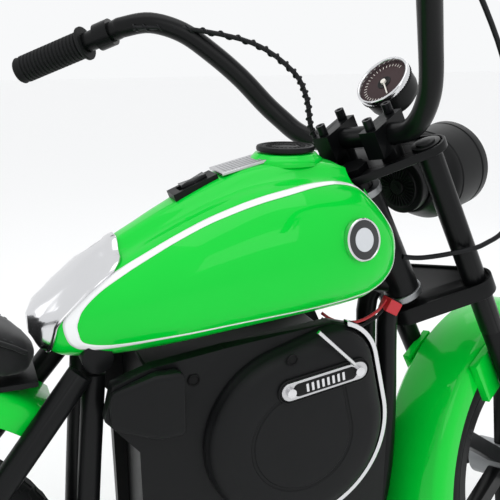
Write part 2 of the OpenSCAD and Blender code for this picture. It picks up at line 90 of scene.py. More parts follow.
world = bpy.data.worlds.new("studio")
world.use_nodes = True
world.node_tree.nodes["Background"].inputs["Color"].default_value = paint("#F8F9FA")
world.node_tree.nodes["Background"].inputs["Strength"].default_value = 1.0
bpy.context.scene.world = world
bpy.context.scene.view_settings.view_transform = "Standard"

floor_z = cad_box[0].z - 0.0004
floor_mesh = bpy.data.meshes.new("floor")
floor_mesh.from_pydata(
    [(-14, -14, floor_z), (14, -14, floor_z), (14, 14, floor_z), (-14, 14, floor_z)], [], [(0, 1, 2, 3)]
)
floor = bpy.data.objects.new("floor", floor_mesh)
bpy.context.collection.objects.link(floor)
paper = bpy.data.materials.new("matt_paper")
paper.use_nodes = True
paper.node_tree.nodes["Principled BSDF"].inputs["Base Color"].default_value = paint("#FCFCFC")
paper.node_tree.nodes["Principled BSDF"].inputs["Roughness"].default_value = 0.9
floor_mesh.materials.append(paper)

soft_boxes = [
    ((0.2, -1.7, 1.6), (0.35, 0, 0.3), 1.5, 5),
    ((0.3, 0.1, 2.1), (0.3, 0, 0.3), 1.6, 6),
    ((1.8, 1.3, 1.3), (0.5, 0, 0.3), 1.4, 2.5),
    ((-1.4, 0.9, 1.0), (0.1, 0, 0.2), 1.2, 2),
]
for i, (place, target, size, power) in enumerate(soft_boxes):
    lamp_data = bpy.data.lights.new(f"soft_box_{i}", "AREA")
    lamp_data.shape = "RECTANGLE"
    lamp_data.size, lamp_data.size_y, lamp_data.energy = size, size * 0.6, power
    lamp = bpy.data.objects.new(f"soft_box_{i}", lamp_data)
    lamp.location = place
    lamp.rotation_mode = "QUATERNION"
    lamp.rotation_quaternion = (Vector(target) - Vector(place)).to_track_quat("-Z", "Y")
    bpy.context.collection.objects.link(lamp)

# ---- Frame tubes ----
# Round steel tube, bent, welded and powder coated black in one go, so every weld and edge has the
# same soft satin skin with a faint orange peel. The head tube stands at the rake of the fork.
mm = 0.001


def finish(
    name, colour, roughness, metal=0.0, coat=0.0, grain=1.2, depth=0.02, shade=0.06, wear=0.05, ior=1.5
):
    """A surface with its own colour drift, gloss drift and moulded or sprayed grain; grain in mm."""
    made = bpy.data.materials.new(name)
    made.use_nodes = True
    tree = made.node_tree
    shader = tree.nodes["Principled BSDF"]
    place = add(tree, "ShaderNodeTexCoord")
    drift = add(tree, "ShaderNodeTexNoise", {"Scale": 22.0, "Detail": 3.0}, {"Vector": (place, "Object")})
    base = Vector(paint(colour)[:3])
    mix = add(tree, "ShaderNodeMix", links={"Factor": (drift, "Fac")}, data_type="RGBA")
    mix.inputs[6].default_value = (*(base * (1 - shade)), 1)
    mix.inputs[7].default_value = (*(base * (1 + shade)), 1)
    tree.links.new(mix.outputs[2], shader.inputs["Base Color"])
    smear = add(
        tree, "ShaderNodeTexNoise", {
            "Scale": 70.0, "Detail": 4.0, "Roughness": 0.6
        }, {"Vector": (place, "Object")}
    )
    gloss = add(
        tree,
        "ShaderNodeMapRange",
        {"To Min": max(0.02, roughness - wear), "To Max": min(1.0, roughness + wear)},
        {"Value": (smear, "Fac")},
    )
    tree.links.new(gloss.outputs[0], shader.inputs["Roughness"])
    skin = add(
        tree, "ShaderNodeTexNoise", {"Scale": 1000.0 / grain, "Detail": 2.0}, {"Vector": (place, "Object")}
    )
    bump = add(tree, "ShaderNodeBump", {"Strength": 0.35, "Distance": depth * mm}, {"Height": (skin, "Fac")})
    tree.links.new(bump.outputs[0], shader.inputs["Normal"])
    shader.inputs["Metallic"].default_value = metal
    shader.inputs["IOR"].default_value = ior
    shader.inputs["Coat Weight"].default_value = coat
    shader.inputs["Coat Roughness"].default_value = 0.04
    if max(paint(colour)[:3]) < 0.02:
        shader.inputs["Specular IOR Level"].default_value = 0.18
    return made


def settle(piece, material, body, nodes=(), angle=35, bevel=0.0, smooth=True, segments=2):
    """Merges a piece's doubles, turns its faces outwards, softens its edges and rides it on its body."""
    shape = bmesh.new()
    shape.from_mesh(piece.data)
    bmesh.ops.remove_doubles(shape, verts=shape.verts, dist=0.00002)
    bmesh.ops.recalc_face_normals(shape, faces=shape.faces)
    shape.to_mesh(piece.data)
    shape.free()
    piece.data.materials.clear()
    piece.data.materials.append(material)
    if smooth:
        piece.data.shade_smooth()
        piece.data.set_sharp_from_angle(angle=math.radians(angle))
    if bevel:
        edge = piece.modifiers.new("edge", "BEVEL")
        edge.width, edge.segments = bevel * mm, segments
        edge.limit_method, edge.angle_limit = "ANGLE", math.radians(angle)
        edge.harden_normals = False
        edge.use_clamp_overlap = True
    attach(piece, body)
    if nodes:
        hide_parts(*nodes)
    return piece


def new_piece(name, points, faces):
    mesh = bpy.data.meshes.new(name)
    mesh.from_pydata([tuple(p) for p in points], [], faces)
    piece = bpy.data.objects.new(name, mesh)
    bpy.context.collection.objects.link(piece)
    return piece


def refined(source, material, bevel=0.0, angle=35, segments=2):
    """A finished copy of a CAD node: merged, smooth where it is round and eased along its edges."""
    original = frame["nodes"][source]
    piece = bpy.data.objects.new(source + "_finished", original.data.copy())
    bpy.context.collection.objects.link(piece)
    body = next(b for b, names in frame["record"]["behaviour"]["bodies"].items() if source in names)
    return settle(piece, material, body, (source,), angle, bevel, True, segments)


powder_coat = finish("powder_coated_steel", "#0E0F10", 0.36, coat=0.0, grain=1.6, depth=0.03, wear=0.06)
for source in ("main_frame", "lower_cradle", "rear_stays", "kick_stand", "foot_pegs"):
    refined(source, powder_coat, 0.8)

# ---- Tank ----
# Blow-moulded plastic shell over the frame's backbone, sprayed green under a thick clear coat. A
# crowned spine runs up its middle, and two lobes reach past the head tube at the front.
tank_rows = [
    (168, 10, 290, 274, 282), (174, 28, 300, 262, 284), (190, 42, 314, 252, 288), (215, 54, 333, 249, 294),
    (250, 68, 348, 250, 304), (290, 82, 369, 255, 314), (330, 92, 389, 261, 322), (370, 98, 405, 266, 328),
    (410, 100, 411, 270, 332), (450, 96, 409, 273, 334), (474, 91, 403, 276, 335), (490, 85, 389, 282, 335),
    (503, 76, 374, 292, 334), (511, 62, 360, 306, 333), (516, 44, 346, 322, 333),
]
spine_height = 8


def smooth_row(rows, x, column):
    """A column of a table at x, on a smooth curve through its rows."""
    i = max(0, min(sum(1 for row in rows if row[0] <= x) - 1, len(rows) - 2))
    a, b, c, d = (rows[max(0, min(i + k, len(rows) - 1))][column] for k in (-1, 0, 1, 2))
    t = (x - rows[i][0]) / (rows[i + 1][0] - rows[i][0])
    return 0.5 * (2 * b + (c - a) * t + (2 * a - 5 * b + 4 * c - d) * t * t + (3 * b - a - 3 * c + d) * t**3)


def ease(v):
    v = max(0.0, min(1.0, v))
    return v * v * (3 - 2 * v)


def lobe(v, power):
    return math.copysign(abs(v) ** power, v)


def tank_at(x, angle, lift=0.0):
    """A point of the tank's skin at a station and an angle round it, in metres."""
    wide, top, low, middle = (smooth_row(tank_rows, x, k) for k in (1, 2, 3, 4))
    upper = math.sin(angle) > 0
    power = 0.88 if upper else 0.76
    y = (wide + lift) * lobe(math.cos(angle), power)
    z = middle + (
        (top - middle) if upper else (middle - low)
    ) * lobe(math.sin(angle), power) * (1 + lift / 60)
    if upper:
        half = 18 + 20 * ease((x - 240) / 190)
        rise = ease((x - 200) / 60) * ease((530 - x) / 60)
        z += rise * spine_height * ease((half + 4 - abs(y)) / 14)
        valley = math.exp(-(((abs(y) - half - 8) / 9) ** 2))
        z -= rise * 1.6 * valley
    return Vector((x, y, z)) * mm


def spine_z(x):
    return tank_at(x, math.pi / 2).z / mm


def loft(rings, closed_ends=True):
    """Points and faces of a skin over rings of equal length."""
    n = len(rings[0])
    points = [p for ring in rings for p in ring]
    faces = [
        (i * n + k, (i + 1) * n + k, (i + 1) * n + (k + 1) % n, i * n + (k + 1) % n)
        for i in range(len(rings) - 1)
        for k in range(n)
    ]
    if closed_ends:
        faces += [tuple(range(n - 1, -1, -1)), tuple((len(rings) - 1) * n + k for k in range(n))]
    return points, faces


def clear_coated(name, colour, lift):
    """Sprayed colour under clear coat: deep even gloss, a trace of orange peel, tiny flake drift."""
    made = finish(name, colour, 0.3, coat=0.45, grain=9.0, depth=0.012, shade=0.03, wear=0.03)
    shader = made.node_tree.nodes["Principled BSDF"]
    shader.inputs["Coat Roughness"].default_value = 0.035
    shader.inputs["Specular IOR Level"].default_value = 0.06
    # lift sets a glow in the paint's own colour, which is painted light; the green paint passes 0.0, so it does not
    # glow.
    shader.inputs["Emission Strength"].default_value = lift
    shader.inputs["Emission Color"].default_value = paint(colour)
    return made


green_paint = clear_coated("clear_coated_green", "#00D038", 0.0)
stations = [168 + 348 * i / 90 for i in range(91)]
stations = sorted(set(stations) | {168.4, 169, 170, 172, 512, 513.5, 514.8, 515.6, 516})
turns = [2 * math.pi * k / 120 for k in range(120)]
points, faces = loft([[tank_at(x, a) for a in turns] for x in stations])
tank = new_piece("tank_skin", points, faces)
stem = Matrix.Translation((0.5, 0, 0.396)) @ Matrix.Rotation(math.radians(-26), 4, "Y")
fork = stem @ Matrix.Rotation(math.radians(23), 4, "Z")


def hollow_out(piece, matrix, radius, low, high):
    """Cuts a round hole through a piece along a matrix's z axis."""
    shape = bmesh.new()
    bmesh.ops.create_cone(shape, cap_ends=True, segments=64, radius1=radius * mm, radius2=radius * mm,
                          depth=(high - low) * mm, matrix=matrix @ Matrix.Translation((0, 0, (low + high) / 2 * mm)))
    tool_mesh = bpy.data.meshes.new("cutter")
    shape.to_mesh(tool_mesh)
    shape.free()
    tool = bpy.data.objects.new("cutter", tool_mesh)
    bpy.context.collection.objects.link(tool)
    cut = piece.modifiers.new("cut", "BOOLEAN")
    cut.operation, cut.object, cut.solver = "DIFFERENCE", tool, "EXACT"
    bpy.context.view_layer.update()
    done = bpy.data.meshes.new_from_object(piece.evaluated_get(bpy.context.evaluated_depsgraph_get()))
    piece.modifiers.remove(cut)
    piece.data = done
    bpy.data.objects.remove(tool)


hollow_out(tank, stem, 34, -150, 30)
for side in (1, -1):
    hollow_out(tank, stem @ Matrix.Translation((0.008, 0.046 * side, 0)), 32, -3.6, 40)
settle(tank, green_paint, "frame", ("tank_shell",), angle=50, bevel=0.7)


# ---- Tank stripe ----
# A white vinyl line round each side panel: broad at the back and over the lobe, a hair line in
# front and below. It is a thin strip laid on the skin, so its edges stay crisp.
stripe_run = [
    (198, -7, 6.2), (197, 1, 6.4), (199, 10, 6.2), (204, 22, 5.6), (214, 31, 5.0), (229, 40, 4.6), (252, 48, 4.3),
    (277, 52, 4.1), (301, 54, 4.0), (324, 54.5, 4.0), (350, 53.5, 4.0), (371, 53, 4.0), (397, 54, 4.0), (427, 58, 3.8),
    (450, 61, 3.4), (470, 60, 2.8), (486, 54, 2.0), (496, 43, 1.4), (503, 28, 1.0), (506, 6, 0.8), (503, -13, 0.8),
    (496, -26, 0.8), (480, -33, 0.9), (453, -35, 0.9), (420, -36, 0.9), (389, -35, 1.0), (340, -33, 1.0),
    (300, -32, 1.1), (271, -31, 1.4), (240, -31, 2.0), (222, -30, 3.0), (208, -26, 4.4), (201, -18, 5.6), (198, -7, 6.2),
]


def through(points_in, steps):
    """A smooth run of points through given ones."""
    rows, out = [(i, *p) for i, p in enumerate(points_in)], []
    for i in range((len(points_in) - 1) * steps + 1):
        out.append(tuple(smooth_row(rows, i / steps, c + 1) for c in range(len(points_in[0]))))
    return out


vinyl = finish("white_vinyl", "#F6F7F8", 0.22, coat=0.6, grain=6, depth=0.01, shade=0.015)
for side in (1, -1):
    centre = through(stripe_run, 8)
    ground = [tank_at(x, math.radians(a), 0.35) for x, a, _ in centre]
    rows_across, points = 5, []
    for i, (x, a, half) in enumerate(centre):
        before, after = ground[(i - 1) % (len(ground) - 1)], ground[(i + 1) % (len(ground) - 1)]
        along = (after - before).normalized()
        here = ground[i]
        step_x = tank_at(x + 0.8, math.radians(a), 0.35) - here
        step_a = tank_at(x, math.radians(a + 1), 0.35) - here
        normal = step_x.cross(step_a).normalized()
        over = along.cross(normal).normalized()
        # offsets measured on the surface, then brought back to it
        det_u, det_v = step_x.normalized(), step_a.normalized()
        for r in range(rows_across):
            off = (r / (rows_across - 1) - 0.5) * 2 * half * mm
            want = over * off
            m = Matrix((det_u, det_v, normal)).transposed()
            c = m.inverted() @ want
            points.append(
                tank_at(x + 0.8 * c[0] / step_x.length, math.radians(a + c[1] / step_a.length), 0.35)
            )
    if side == -1:
        points = [Vector((p.x, -p.y, p.z)) for p in points]
    n = len(centre)
    faces = [
        (
            i * rows_across + r,
            (i + 1) * rows_across + r,
            (i + 1) * rows_across + r + 1,
            i * rows_across + r + 1,
        )
        for i in range(n - 1)
        for r in range(rows_across - 1)
    ]
    strip = new_piece(f"stripe_{'left' if side == 1 else 'right'}", points, faces)
    thick = strip.modifiers.new("thick", "SOLIDIFY")
    thick.thickness, thick.offset = 0.0005, 0.0
    settle(strip, vinyl, "frame", angle=60)

# ---- Tank fittings ----
# Pressed bright pad on the tail of the tank, screw-in filler cap on a moulded collar, blank rating
# plate, rocker switch and the round enamel discs on both lobes.
bright = finish("satin_chromed_abs", "#DADADC", 0.16, metal=1.0, grain=3, depth=0.006, shade=0.02, wear=0.05)
brushed = finish(
    "brushed_aluminium_sheet", "#C4C4C6", 0.3, metal=1.0, grain=0.5, depth=0.01, shade=0.05, wear=0.08
)
satin_black = finish("satin_black_abs", "#0D0E0F", 0.42, grain=0.9, depth=0.025, shade=0.08, wear=0.06)
pad_edge = [
    (-95, 180), (-70, 180), (-45, 181), (-25, 183), (-7, 185), (4, 188), (13, 193), (20, 199), (27, 207), (34, 217),
    (41, 227), (48, 237), (55, 243), (63, 246.5), (76, 248), (90, 248.5),
]
rings = []
for reach, lift in [
    (0.0, -0.8), (0.0, 1.8), (0.012, 2.7), (0.05, 3.3), (0.09, 3.2), (0.12, 2.5), (0.14, 2.1), (0.2, 2.1), (0.3, 2.1), (0.4, 2.1),
    (0.5, 2.1), (0.6, 2.1), (0.7, 2.1), (0.8, 2.2), (0.88, 2.3), (0.95, 2.4), (1.0, 2.4), (1.0, 1.0),
]:
    ring = []
    for k in range(96):
        angle = 360 * k / 96
        folded = angle if angle <= 90 else 180 - angle if angle <= 270 else angle - 360
        start = smooth_row(pad_edge, max(-94.9, min(90, folded)), 1)
        x = start + (168.3 - start) * reach
        place = tank_at(x, math.radians(angle), lift)
        place.z += lift * 0.6 * mm * math.sin(math.radians(angle))
        place.x -= (2.6 if reach < 1 or lift > 2 else 3.4) * ease((186 - x) / 18) * mm
        ring.append(place)
    rings.append(ring)
points, faces = loft(rings)
pad = new_piece("tank_pad_plate", points, faces)
settle(pad, bright, "frame", ("tank_pad",), angle=40)


def lathe(profile, matrix, segments=64, arc=(0, 360)):
    """A turned shape: radius and height in mm, spun round a matrix's z axis, closed on the axis."""
    rings = [
        [
            matrix @ Vector((r * math.cos(a) * mm, r * math.sin(a) * mm, h * mm))
            for a in (math.radians(arc[0] + (arc[1] - arc[0]) * k / segments) for k in range(segments))
        ]
        for r, h in profile
    ]
    return loft(rings)


def on_spine(x, tilt, lift=0.0):
    return Matrix.Translation(
        Vector((x, 0, spine_z(x) + lift)) * mm
    ) @ Matrix.Rotation(math.radians(-tilt), 4, "Y")


collar_profile = [(36, -6), (36, -1.5), (33.5, 0.4), (31.5, 2.2), (30.2, 3.8), (29, 4.2), (0.3, 4.2)]
collar = new_piece("filler_collar", *lathe(collar_profile, on_spine(421, 0, 0.4), 72))
settle(collar, green_paint, "frame", angle=60)
cap_profile = [
    (0.3, 4.0), (28.4, 4.0), (28.8, 5.0), (28.8, 7.2), (28.0, 8.4), (26.2, 8.8), (25.4, 8.2), (24.8, 7.4), (22.6, 7.4),
    (22.0, 8.2), (20.8, 8.4), (20.2, 7.6), (13, 7.3), (12.4, 8.0), (10.8, 8.2), (10.2, 7.5), (0.3, 7.2),
]
cap = new_piece("filler_cap_turned", *lathe(cap_profile, on_spine(421, 0, 2.6), 72))
settle(cap, satin_black, "frame", ("filler_cap",), angle=35)


def repeated(name, carrier, part, material, body, angle=35):
    """Geometry Nodes put one small part on every point of a carrier, turned by the spin stored with the point."""
    tree = bpy.data.node_groups.new(name + "_rule", "GeometryNodeTree")
    tree.interface.new_socket("Geometry", in_out="INPUT", socket_type="NodeSocketGeometry")
    size = tree.interface.new_socket("Size", in_out="INPUT", socket_type="NodeSocketFloat")
    tree.interface.new_socket("Geometry", in_out="OUTPUT", socket_type="NodeSocketGeometry")
    into = add(tree, "NodeGroupInput")
    spin = add(tree, "GeometryNodeInputNamedAttribute", {"Name": "spin"}, data_type="FLOAT_VECTOR")
    source = add(tree, "GeometryNodeObjectInfo", {"Object": part})
    spread = add(
        tree,
        "GeometryNodeInstanceOnPoints",
        links={
            "Points": (into, "Geometry"),
            "Instance": (source, "Geometry"),
            "Rotation": (spin, "Attribute"),
            "Scale": (into, "Size"),
        },
    )
    real = add(tree, "GeometryNodeRealizeInstances", links={"Geometry": (spread, "Instances")})
    coat = add(tree, "GeometryNodeSetMaterial", {"Material": material}, {"Geometry": (real, "Geometry")})
    add(tree, "NodeGroupOutput", links={"Geometry": (coat, "Geometry")})
    rule = carrier.modifiers.new("rule", "NODES")
    rule.node_group = tree
    rule[size.identifier] = 1.0
    bpy.context.view_layer.update()
    made = bpy.data.meshes.new_from_object(carrier.evaluated_get(bpy.context.evaluated_depsgraph_get()))
    carrier.modifiers.remove(rule)
    piece = bpy.data.objects.new(name, made)
    bpy.context.collection.objects.link(piece)
    bpy.data.objects.remove(carrier)
    bpy.data.objects.remove(part)
    return settle(piece, material, body, angle=angle)


def stations_at(name, places):
    """A carrier of bare points; each place is a matrix, kept as a point and its turn."""
    mesh = bpy.data.meshes.new(name)
    mesh.from_pydata([tuple(m.to_translation()) for m in places], [], [])
    spin = mesh.attributes.new("spin", "FLOAT_VECTOR", "POINT")
    for i, m in enumerate(places):
        spin.data[i].vector = m.to_euler()
    carrier = bpy.data.objects.new(name, mesh)
    bpy.context.collection.objects.link(carrier)
    return carrier


def small_block(name, x, y, z, ease_mm):
    """A little eased block, its bottom on the ground of its own frame."""
    shape = bmesh.new()
    bmesh.ops.create_cube(
        shape,
        size=1,
        matrix=Matrix.Translation((0, 0, z * mm / 2)) @ Matrix.Diagonal((x * mm, y * mm, z * mm, 1)),
    )
    if ease_mm:
        bmesh.ops.bevel(shape, geom=shape.edges[:], offset=ease_mm * mm, segments=1, affect="EDGES")
    mesh = bpy.data.meshes.new(name)
    shape.to_mesh(mesh)
    shape.free()
    block = bpy.data.objects.new(name, mesh)
    bpy.context.collection.objects.link(block)
    return block


cap_frame = on_spine(421, 0, 2.6)
grips = [
    cap_frame @ Matrix.Rotation(math.radians(a), 4, "Z") @ Matrix.Translation((0.0168, 0, 0.0072))
    for a in range(0, 360, 15)
]
repeated(
    "cap_grip_ribs",
    stations_at("cap_points", grips),
    small_block("cap_rib", 5, 1.1, 1.0, 0.2),
    satin_black,
    "frame",
)

refined("info_plate", brushed, 0.6)
plate_frame = on_spine(370, 13)
lines = [plate_frame @ Matrix.Translation(((-16 + 3.6 * i) * mm, 0, 0.002)) for i in range(11)]
repeated(
    "rating_plate_ribs",
    stations_at("plate_points", lines),
    small_block("plate_rib", 1.2, 30, 0.5, 0.15),
    brushed,
    "frame",
)
refined("switch_housing", satin_black, 0.7)
refined("switch_rocker", finish("gloss_black_abs", "#101113", 0.18, grain=2, depth=0.006), 0.6)

enamel_black = finish("black_enamel", "#15171A", 0.12, coat=1.0, grain=8, depth=0.004)
enamel_silver = finish("silver_enamel", "#D5D8DC", 0.2, metal=0.6, coat=1.0, grain=8, depth=0.004)
for side in (1, -1):
    facing = Matrix.Translation(Vector((457, side * (smooth_row(tank_rows, 457, 1) + 0.2), 354)) * mm)
    out = Vector((0.22, side * 0.94, 0.22)).normalized()
    facing = facing @ out.to_track_quat("Z", "Y").to_matrix().to_4x4()
    name = "left" if side == 1 else "right"
    rim = new_piece(
        f"badge_rim_{name}",
        *lathe(
            [(20, -4), (20, 1.4), (19.3, 2.3), (18.3, 2.4), (17.8, 1.7), (17.6, 0.6), (0.3, 0.6)], facing, 72
        ),
    )
    settle(rim, bright, "frame", ("tank_badges",) if side == 1 else (), angle=30)
    band = new_piece(
        f"badge_band_{name}",
        *lathe([(17.7, 0.7), (17.5, 1.5), (11.2, 1.9), (11.0, 1.2), (0.3, 0.8)], facing, 72),
    )
    settle(band, enamel_black, "frame", angle=40)
    heart = new_piece(
        f"badge_heart_{name}",
        *lathe([(11.1, 1.0), (11.0, 2.0), (10.2, 2.2), (5, 2.6), (0.3, 2.7)], facing, 64),
    )
    settle(heart, enamel_silver, "frame", angle=40)

# ---- Engine dummy, battery and wiring ----
# Moulded black covers that stand for an engine: a side cover, a round cover with a bright strip on
# its front edge, and an intake bulge. Battery, controller, plug and leads sit between and above them.
for source in ("engine_core", "engine_covers", "battery_pack", "motor_controller"):
    refined(source, satin_black, 1.6)
cover_matt = finish("matt_black_abs", "#101112", 0.5, grain=0.9, depth=0.03, shade=0.1, wear=0.08)


def cover_ring(shrink, height, side):
    """Outline of the round cover at a height above the side cover, seen from the side."""
    ring = []
    for k in range(144):
        a = 2 * math.pi * k / 144
        d = Vector((math.cos(a), math.sin(a)))
        reach = 94 - shrink
        best = Vector((402, 160)) + d * reach
        other = Vector((438, 222)) + d * (45 - shrink)
        if other.dot(d) > best.dot(d):
            best = other
        ring.append(Vector((best.x, side * (72 + height), best.y)) * mm)
    return ring


for side in (1, -1):
    name = "left" if side == 1 else "right"
    steps = [
        (0, 0),
        (0, 3),
        (0.6, 5.5),
        (2.4, 8),
        (2.6, 9.2),
        (3.6, 11.5),
        (6, 14.5),
        (9.5, 17.2),
        (14, 19.2),
        (20, 20.4),
        (34, 21),
        (40, 21),
        (41, 20),
        (43.5, 20),
        (44.4, 21),
        (60, 21.4),
        (93.7, 21.6),
    ]
    rings = []
    for shrink, height in steps:
        ring = cover_ring(min(shrink, 44), height, side)
        if shrink > 44:
            middle = Vector((0.410, side * (72 + height) * mm, 0.175))
            k = (93.8 - shrink) / 49.8
            ring = [middle + (p - middle) * k for p in cover_ring(44, height, side)]
        rings.append(ring)
    dome = new_piece(f"round_cover_{name}", *loft(rings))
    settle(dome, cover_matt, "frame", ("round_covers",) if side == 1 else (), angle=40)
    tray = []
    for shrink, height, grow in (
        (0, 20.6, 3.4), (0, 23.0, 3.2), (0.4, 23.4, 2.4), (1.0, 22.6, 1.6), (1.0, 21.9, 1.2)
    ):
        ring = []
        for k in range(64):
            a = 2 * math.pi * k / 64
            x = 36 * (1 if math.cos(a) > 0 else -1) + (9 + grow) * math.cos(a)
            z = (9 + grow) * math.sin(a)
            tilt = math.radians(8)
            ring.append(
                Vector(
                    (
                        422 + x * math.cos(tilt) - z * math.sin(tilt),
                        side * (72 + height),
                        220 + x * math.sin(tilt) + z * math.cos(tilt),
                    )
                ) * mm
            )
        tray.append(ring)
    frame_tray = new_piece(f"plate_tray_{name}", *loft(tray))
    settle(frame_tray, cover_matt, "frame", angle=40)
refined("cover_trims", bright, 0.8)
refined("name_plates", brushed, 0.5)
refined("plate_screws", bright, 0.4)
refined("push_rods", bright, 0.3)
refined("air_box", satin_black, 5.0, segments=4)
for side in (1, -1):
    name = "left" if side == 1 else "right"
    plate = Matrix.Translation(
        Vector((422, side * 96.0, 220)) * mm
    ) @ Matrix.Rotation(math.radians(-8), 4, "Y")
    plate = plate @ Matrix.Rotation(math.radians(-90 * side), 4, "X")
    inner = new_piece(f"plate_field_{name}", *loft([
        [
            plate @ Vector(
                (
                    (27 * (1 if math.cos(a) > 0 else -1) + (6.6 - e) * math.cos(a)) * mm,
                    (6.6 - e) * math.sin(a) * mm,
                    h * mm,
                )
            )
            for a in (2 * math.pi * k / 48 for k in range(48))
        ]
        for e, h in ((0, -0.6), (0, 0.35), (0.3, 0.5), (3.3, 0.5))
    ]))
    settle(inner, cover_matt, "frame", angle=40)
    ribs = [plate @ Matrix.Translation(((-18.9 + 5.4 * i) * mm, 0, 0.0004)) for i in range(8)]
    repeated(
        f"plate_ribs_{name}",
        stations_at(f"rib_points_{name}", ribs),
        small_block("rib", 2.6, 8.4, 0.8, 0.25),
        bright,
        "frame",
    )

# Screw wells: shallow dishes in near black, darker than the covers round them; the dark is painted shade that stands
# in for the depth of the screw holes.
painted_hole_shade = finish("screw_hole_painted_shade", "#060607", 0.6)
for side in (1, -1):
    name = "left" if side == 1 else "right"
    hole_profile = [(5.8, 0.0), (5.8, 1.0), (5.0, 1.4), (4.4, 1.0), (4.2, 0.3), (0.3, 0.2)]
    for i, (x, z, y) in enumerate(((300, 232, 72.0), (290, -30, 72.0), (488, -34, 72.0), (389, 246, 92.2))):
        seat = Matrix.Translation(Vector((x, side * y, z)) * mm) @ Matrix.Rotation(
            math.radians(-90 * side), 4, "X"
        )
        ring = new_piece(f"screw_well_{name}_{i}", *lathe(hole_profile, seat, 32))
        settle(ring, painted_hole_shade, "frame", angle=30)

red_abs = finish("red_nylon", "#C2202C", 0.3, grain=2, depth=0.01, shade=0.08)
refined("charge_plug", red_abs, 0.9)
lead_routes = []
for i, d in enumerate((0, 6)):
    route = through(
        [
            (526, -30, 266 - d),
            (512, -34, 256 - d),
            (488, -38, 250 - d),
            (462, -36, 254 - d),
            (450, -30, 262 - d),
        ],
        3,
    )
    lead_routes.append([Vector(p) * mm for p in route])


def tube(name, route, radius, sides=16):
    """A round tube along a route of points in metres, closed at both ends."""
    rings, up = [], None
    for i, p in enumerate(route):
        along = (route[min(i + 1, len(route) - 1)] - route[max(i - 1, 0)]).normalized()
        if up is None:
            up = along.orthogonal().normalized()
        up = (up - along * up.dot(along)).normalized()
        across = along.cross(up)
        r = radius(i / (len(route) - 1)) if callable(radius) else radius
        rings.append(
            [
                p + (
                    up * math.cos(2 * math.pi * k / sides) + across * math.sin(2 * math.pi * k / sides)
                ) * r * mm
                for k in range(sides)
            ]
        )
    return new_piece(name, *loft(rings))


pvc = {
    0: finish("red_pvc_lead", "#B81A26", 0.35, grain=1.5, depth=0.01),
    1: finish("black_pvc_lead", "#111213", 0.4, grain=1.5, depth=0.01),
}
for i, route in enumerate(lead_routes):
    lead = tube(f"charge_lead_{i}", route, 1.6)
    settle(lead, pvc[i], "frame", ("charge_leads",) if i == 0 else (), angle=60)

# ---- Seat ----
# Moulded foam under black leatherette, pulled over a steel pan, with a piped seam round its top and
# a row of stitches inside the piping. The cover is crowned by a cloth simulation under pressure.
leatherette = finish("black_leatherette", "#121314", 0.48, grain=1.1, depth=0.09, shade=0.12, wear=0.08)
leatherette.node_tree.nodes["Principled BSDF"].inputs["Sheen Weight"].default_value = 0.15
refined("seat_pan", powder_coat, 0.8)


def seat_half(x):
    return smooth_row(
        [
            (-100, 40),
            (-96, 58),
            (-80, 78),
            (-50, 88),
            (-10, 92),
            (30, 90),
            (70, 76),
            (98, 58),
            (116, 48),
            (132, 42),
            (150, 33),
            (162, 24),
            (168, 12),
        ],
        x,
        1,
    )


def seat_top(x):
    return smooth_row(
        [
            (-100, 296),
            (-96, 302),
            (-80, 308),
            (-50, 309),
            (0, 304),
            (50, 303),
            (98, 301),
            (116, 298),
            (132, 291),
            (150, 277),
            (162, 264),
            (168, 256),
        ],
        x,
        1,
    )


def seat_low(x):
    return smooth_row(
        [
            (-100, 282),
            (-96, 276),
            (-80, 273),
            (-50, 272.5),
            (0, 272.5),
            (90, 272.5),
            (100, 271),
            (112, 262),
            (125, 248),
            (140, 240),
            (158, 239),
            (168, 248),
        ],
        x,
        1,
    )


def seat_ring(x, count=72, swell=0.0):
    ring, half, top, low = [], seat_half(x), seat_top(x), seat_low(x)
    middle = low + (top - low) * 0.42
    for k in range(count):
        a = 2 * math.pi * k / count
        y = half * lobe(math.cos(a), 0.55)
        z = middle + (
            (top - middle) if math.sin(a) > 0 else (middle - low)
        ) * lobe(math.sin(a), 0.62 if math.sin(a) > 0 else 0.4)
        ring.append(Vector((x, y, z)) * mm)
    return ring


seat_stations = [-100, -99, -97, -94, -90, -84] + list(range(-78, 150, 6)) + [
    150, 154, 158, 161, 164, 166, 167.4, 168
]
seat = new_piece("seat_cushion", *loft([seat_ring(x) for x in seat_stations]))
smooth = seat.modifiers.new("even", "REMESH")
smooth.mode, smooth.voxel_size = "VOXEL", 0.005
bpy.context.view_layer.update()
even = bpy.data.meshes.new_from_object(seat.evaluated_get(bpy.context.evaluated_depsgraph_get()))
seat.modifiers.remove(smooth)
seat.data = even
start = [v.co.copy() for v in even.vertices]
held = seat.vertex_groups.new(name="held")
held.add([v.index for v in even.vertices if v.co.z < 0.278 and v.co.x < 0.1], 1.0, "REPLACE")
cloth = seat.modifiers.new("cloth", "CLOTH")
cloth.settings.quality = 4
cloth.settings.use_pressure = True
cloth.settings.uniform_pressure_force = 3.0
cloth.settings.effector_weights.gravity = 0
cloth.settings.vertex_group_mass = "held"
scene = bpy.context.scene
for step in range(1, 13):
    scene.frame_set(step)
swollen = bpy.data.meshes.new_from_object(seat.evaluated_get(bpy.context.evaluated_depsgraph_get()))
seat.modifiers.remove(cloth)
seat.data = swollen
for v, p in zip(swollen.vertices, start):
    move = v.co - p
    if move.length > 0.005:
        v.co = p + move.normalized() * 0.005
scene.frame_set(1)
settle(seat, leatherette, "frame", ("seat_pad",), angle=70)
soften = seat.modifiers.new("soften", "SUBSURF")
soften.levels = soften.render_levels = 1


def seam_point(x, side, angle, out=0.0):
    half, top, low = seat_half(x), seat_top(x), seat_low(x)
    middle = low + (top - low) * 0.42
    y = half * lobe(math.cos(angle), 0.55) + out
    return Vector((x, side * y, middle + (top - middle) * lobe(math.sin(angle), 0.62) + out * 0.6)) * mm


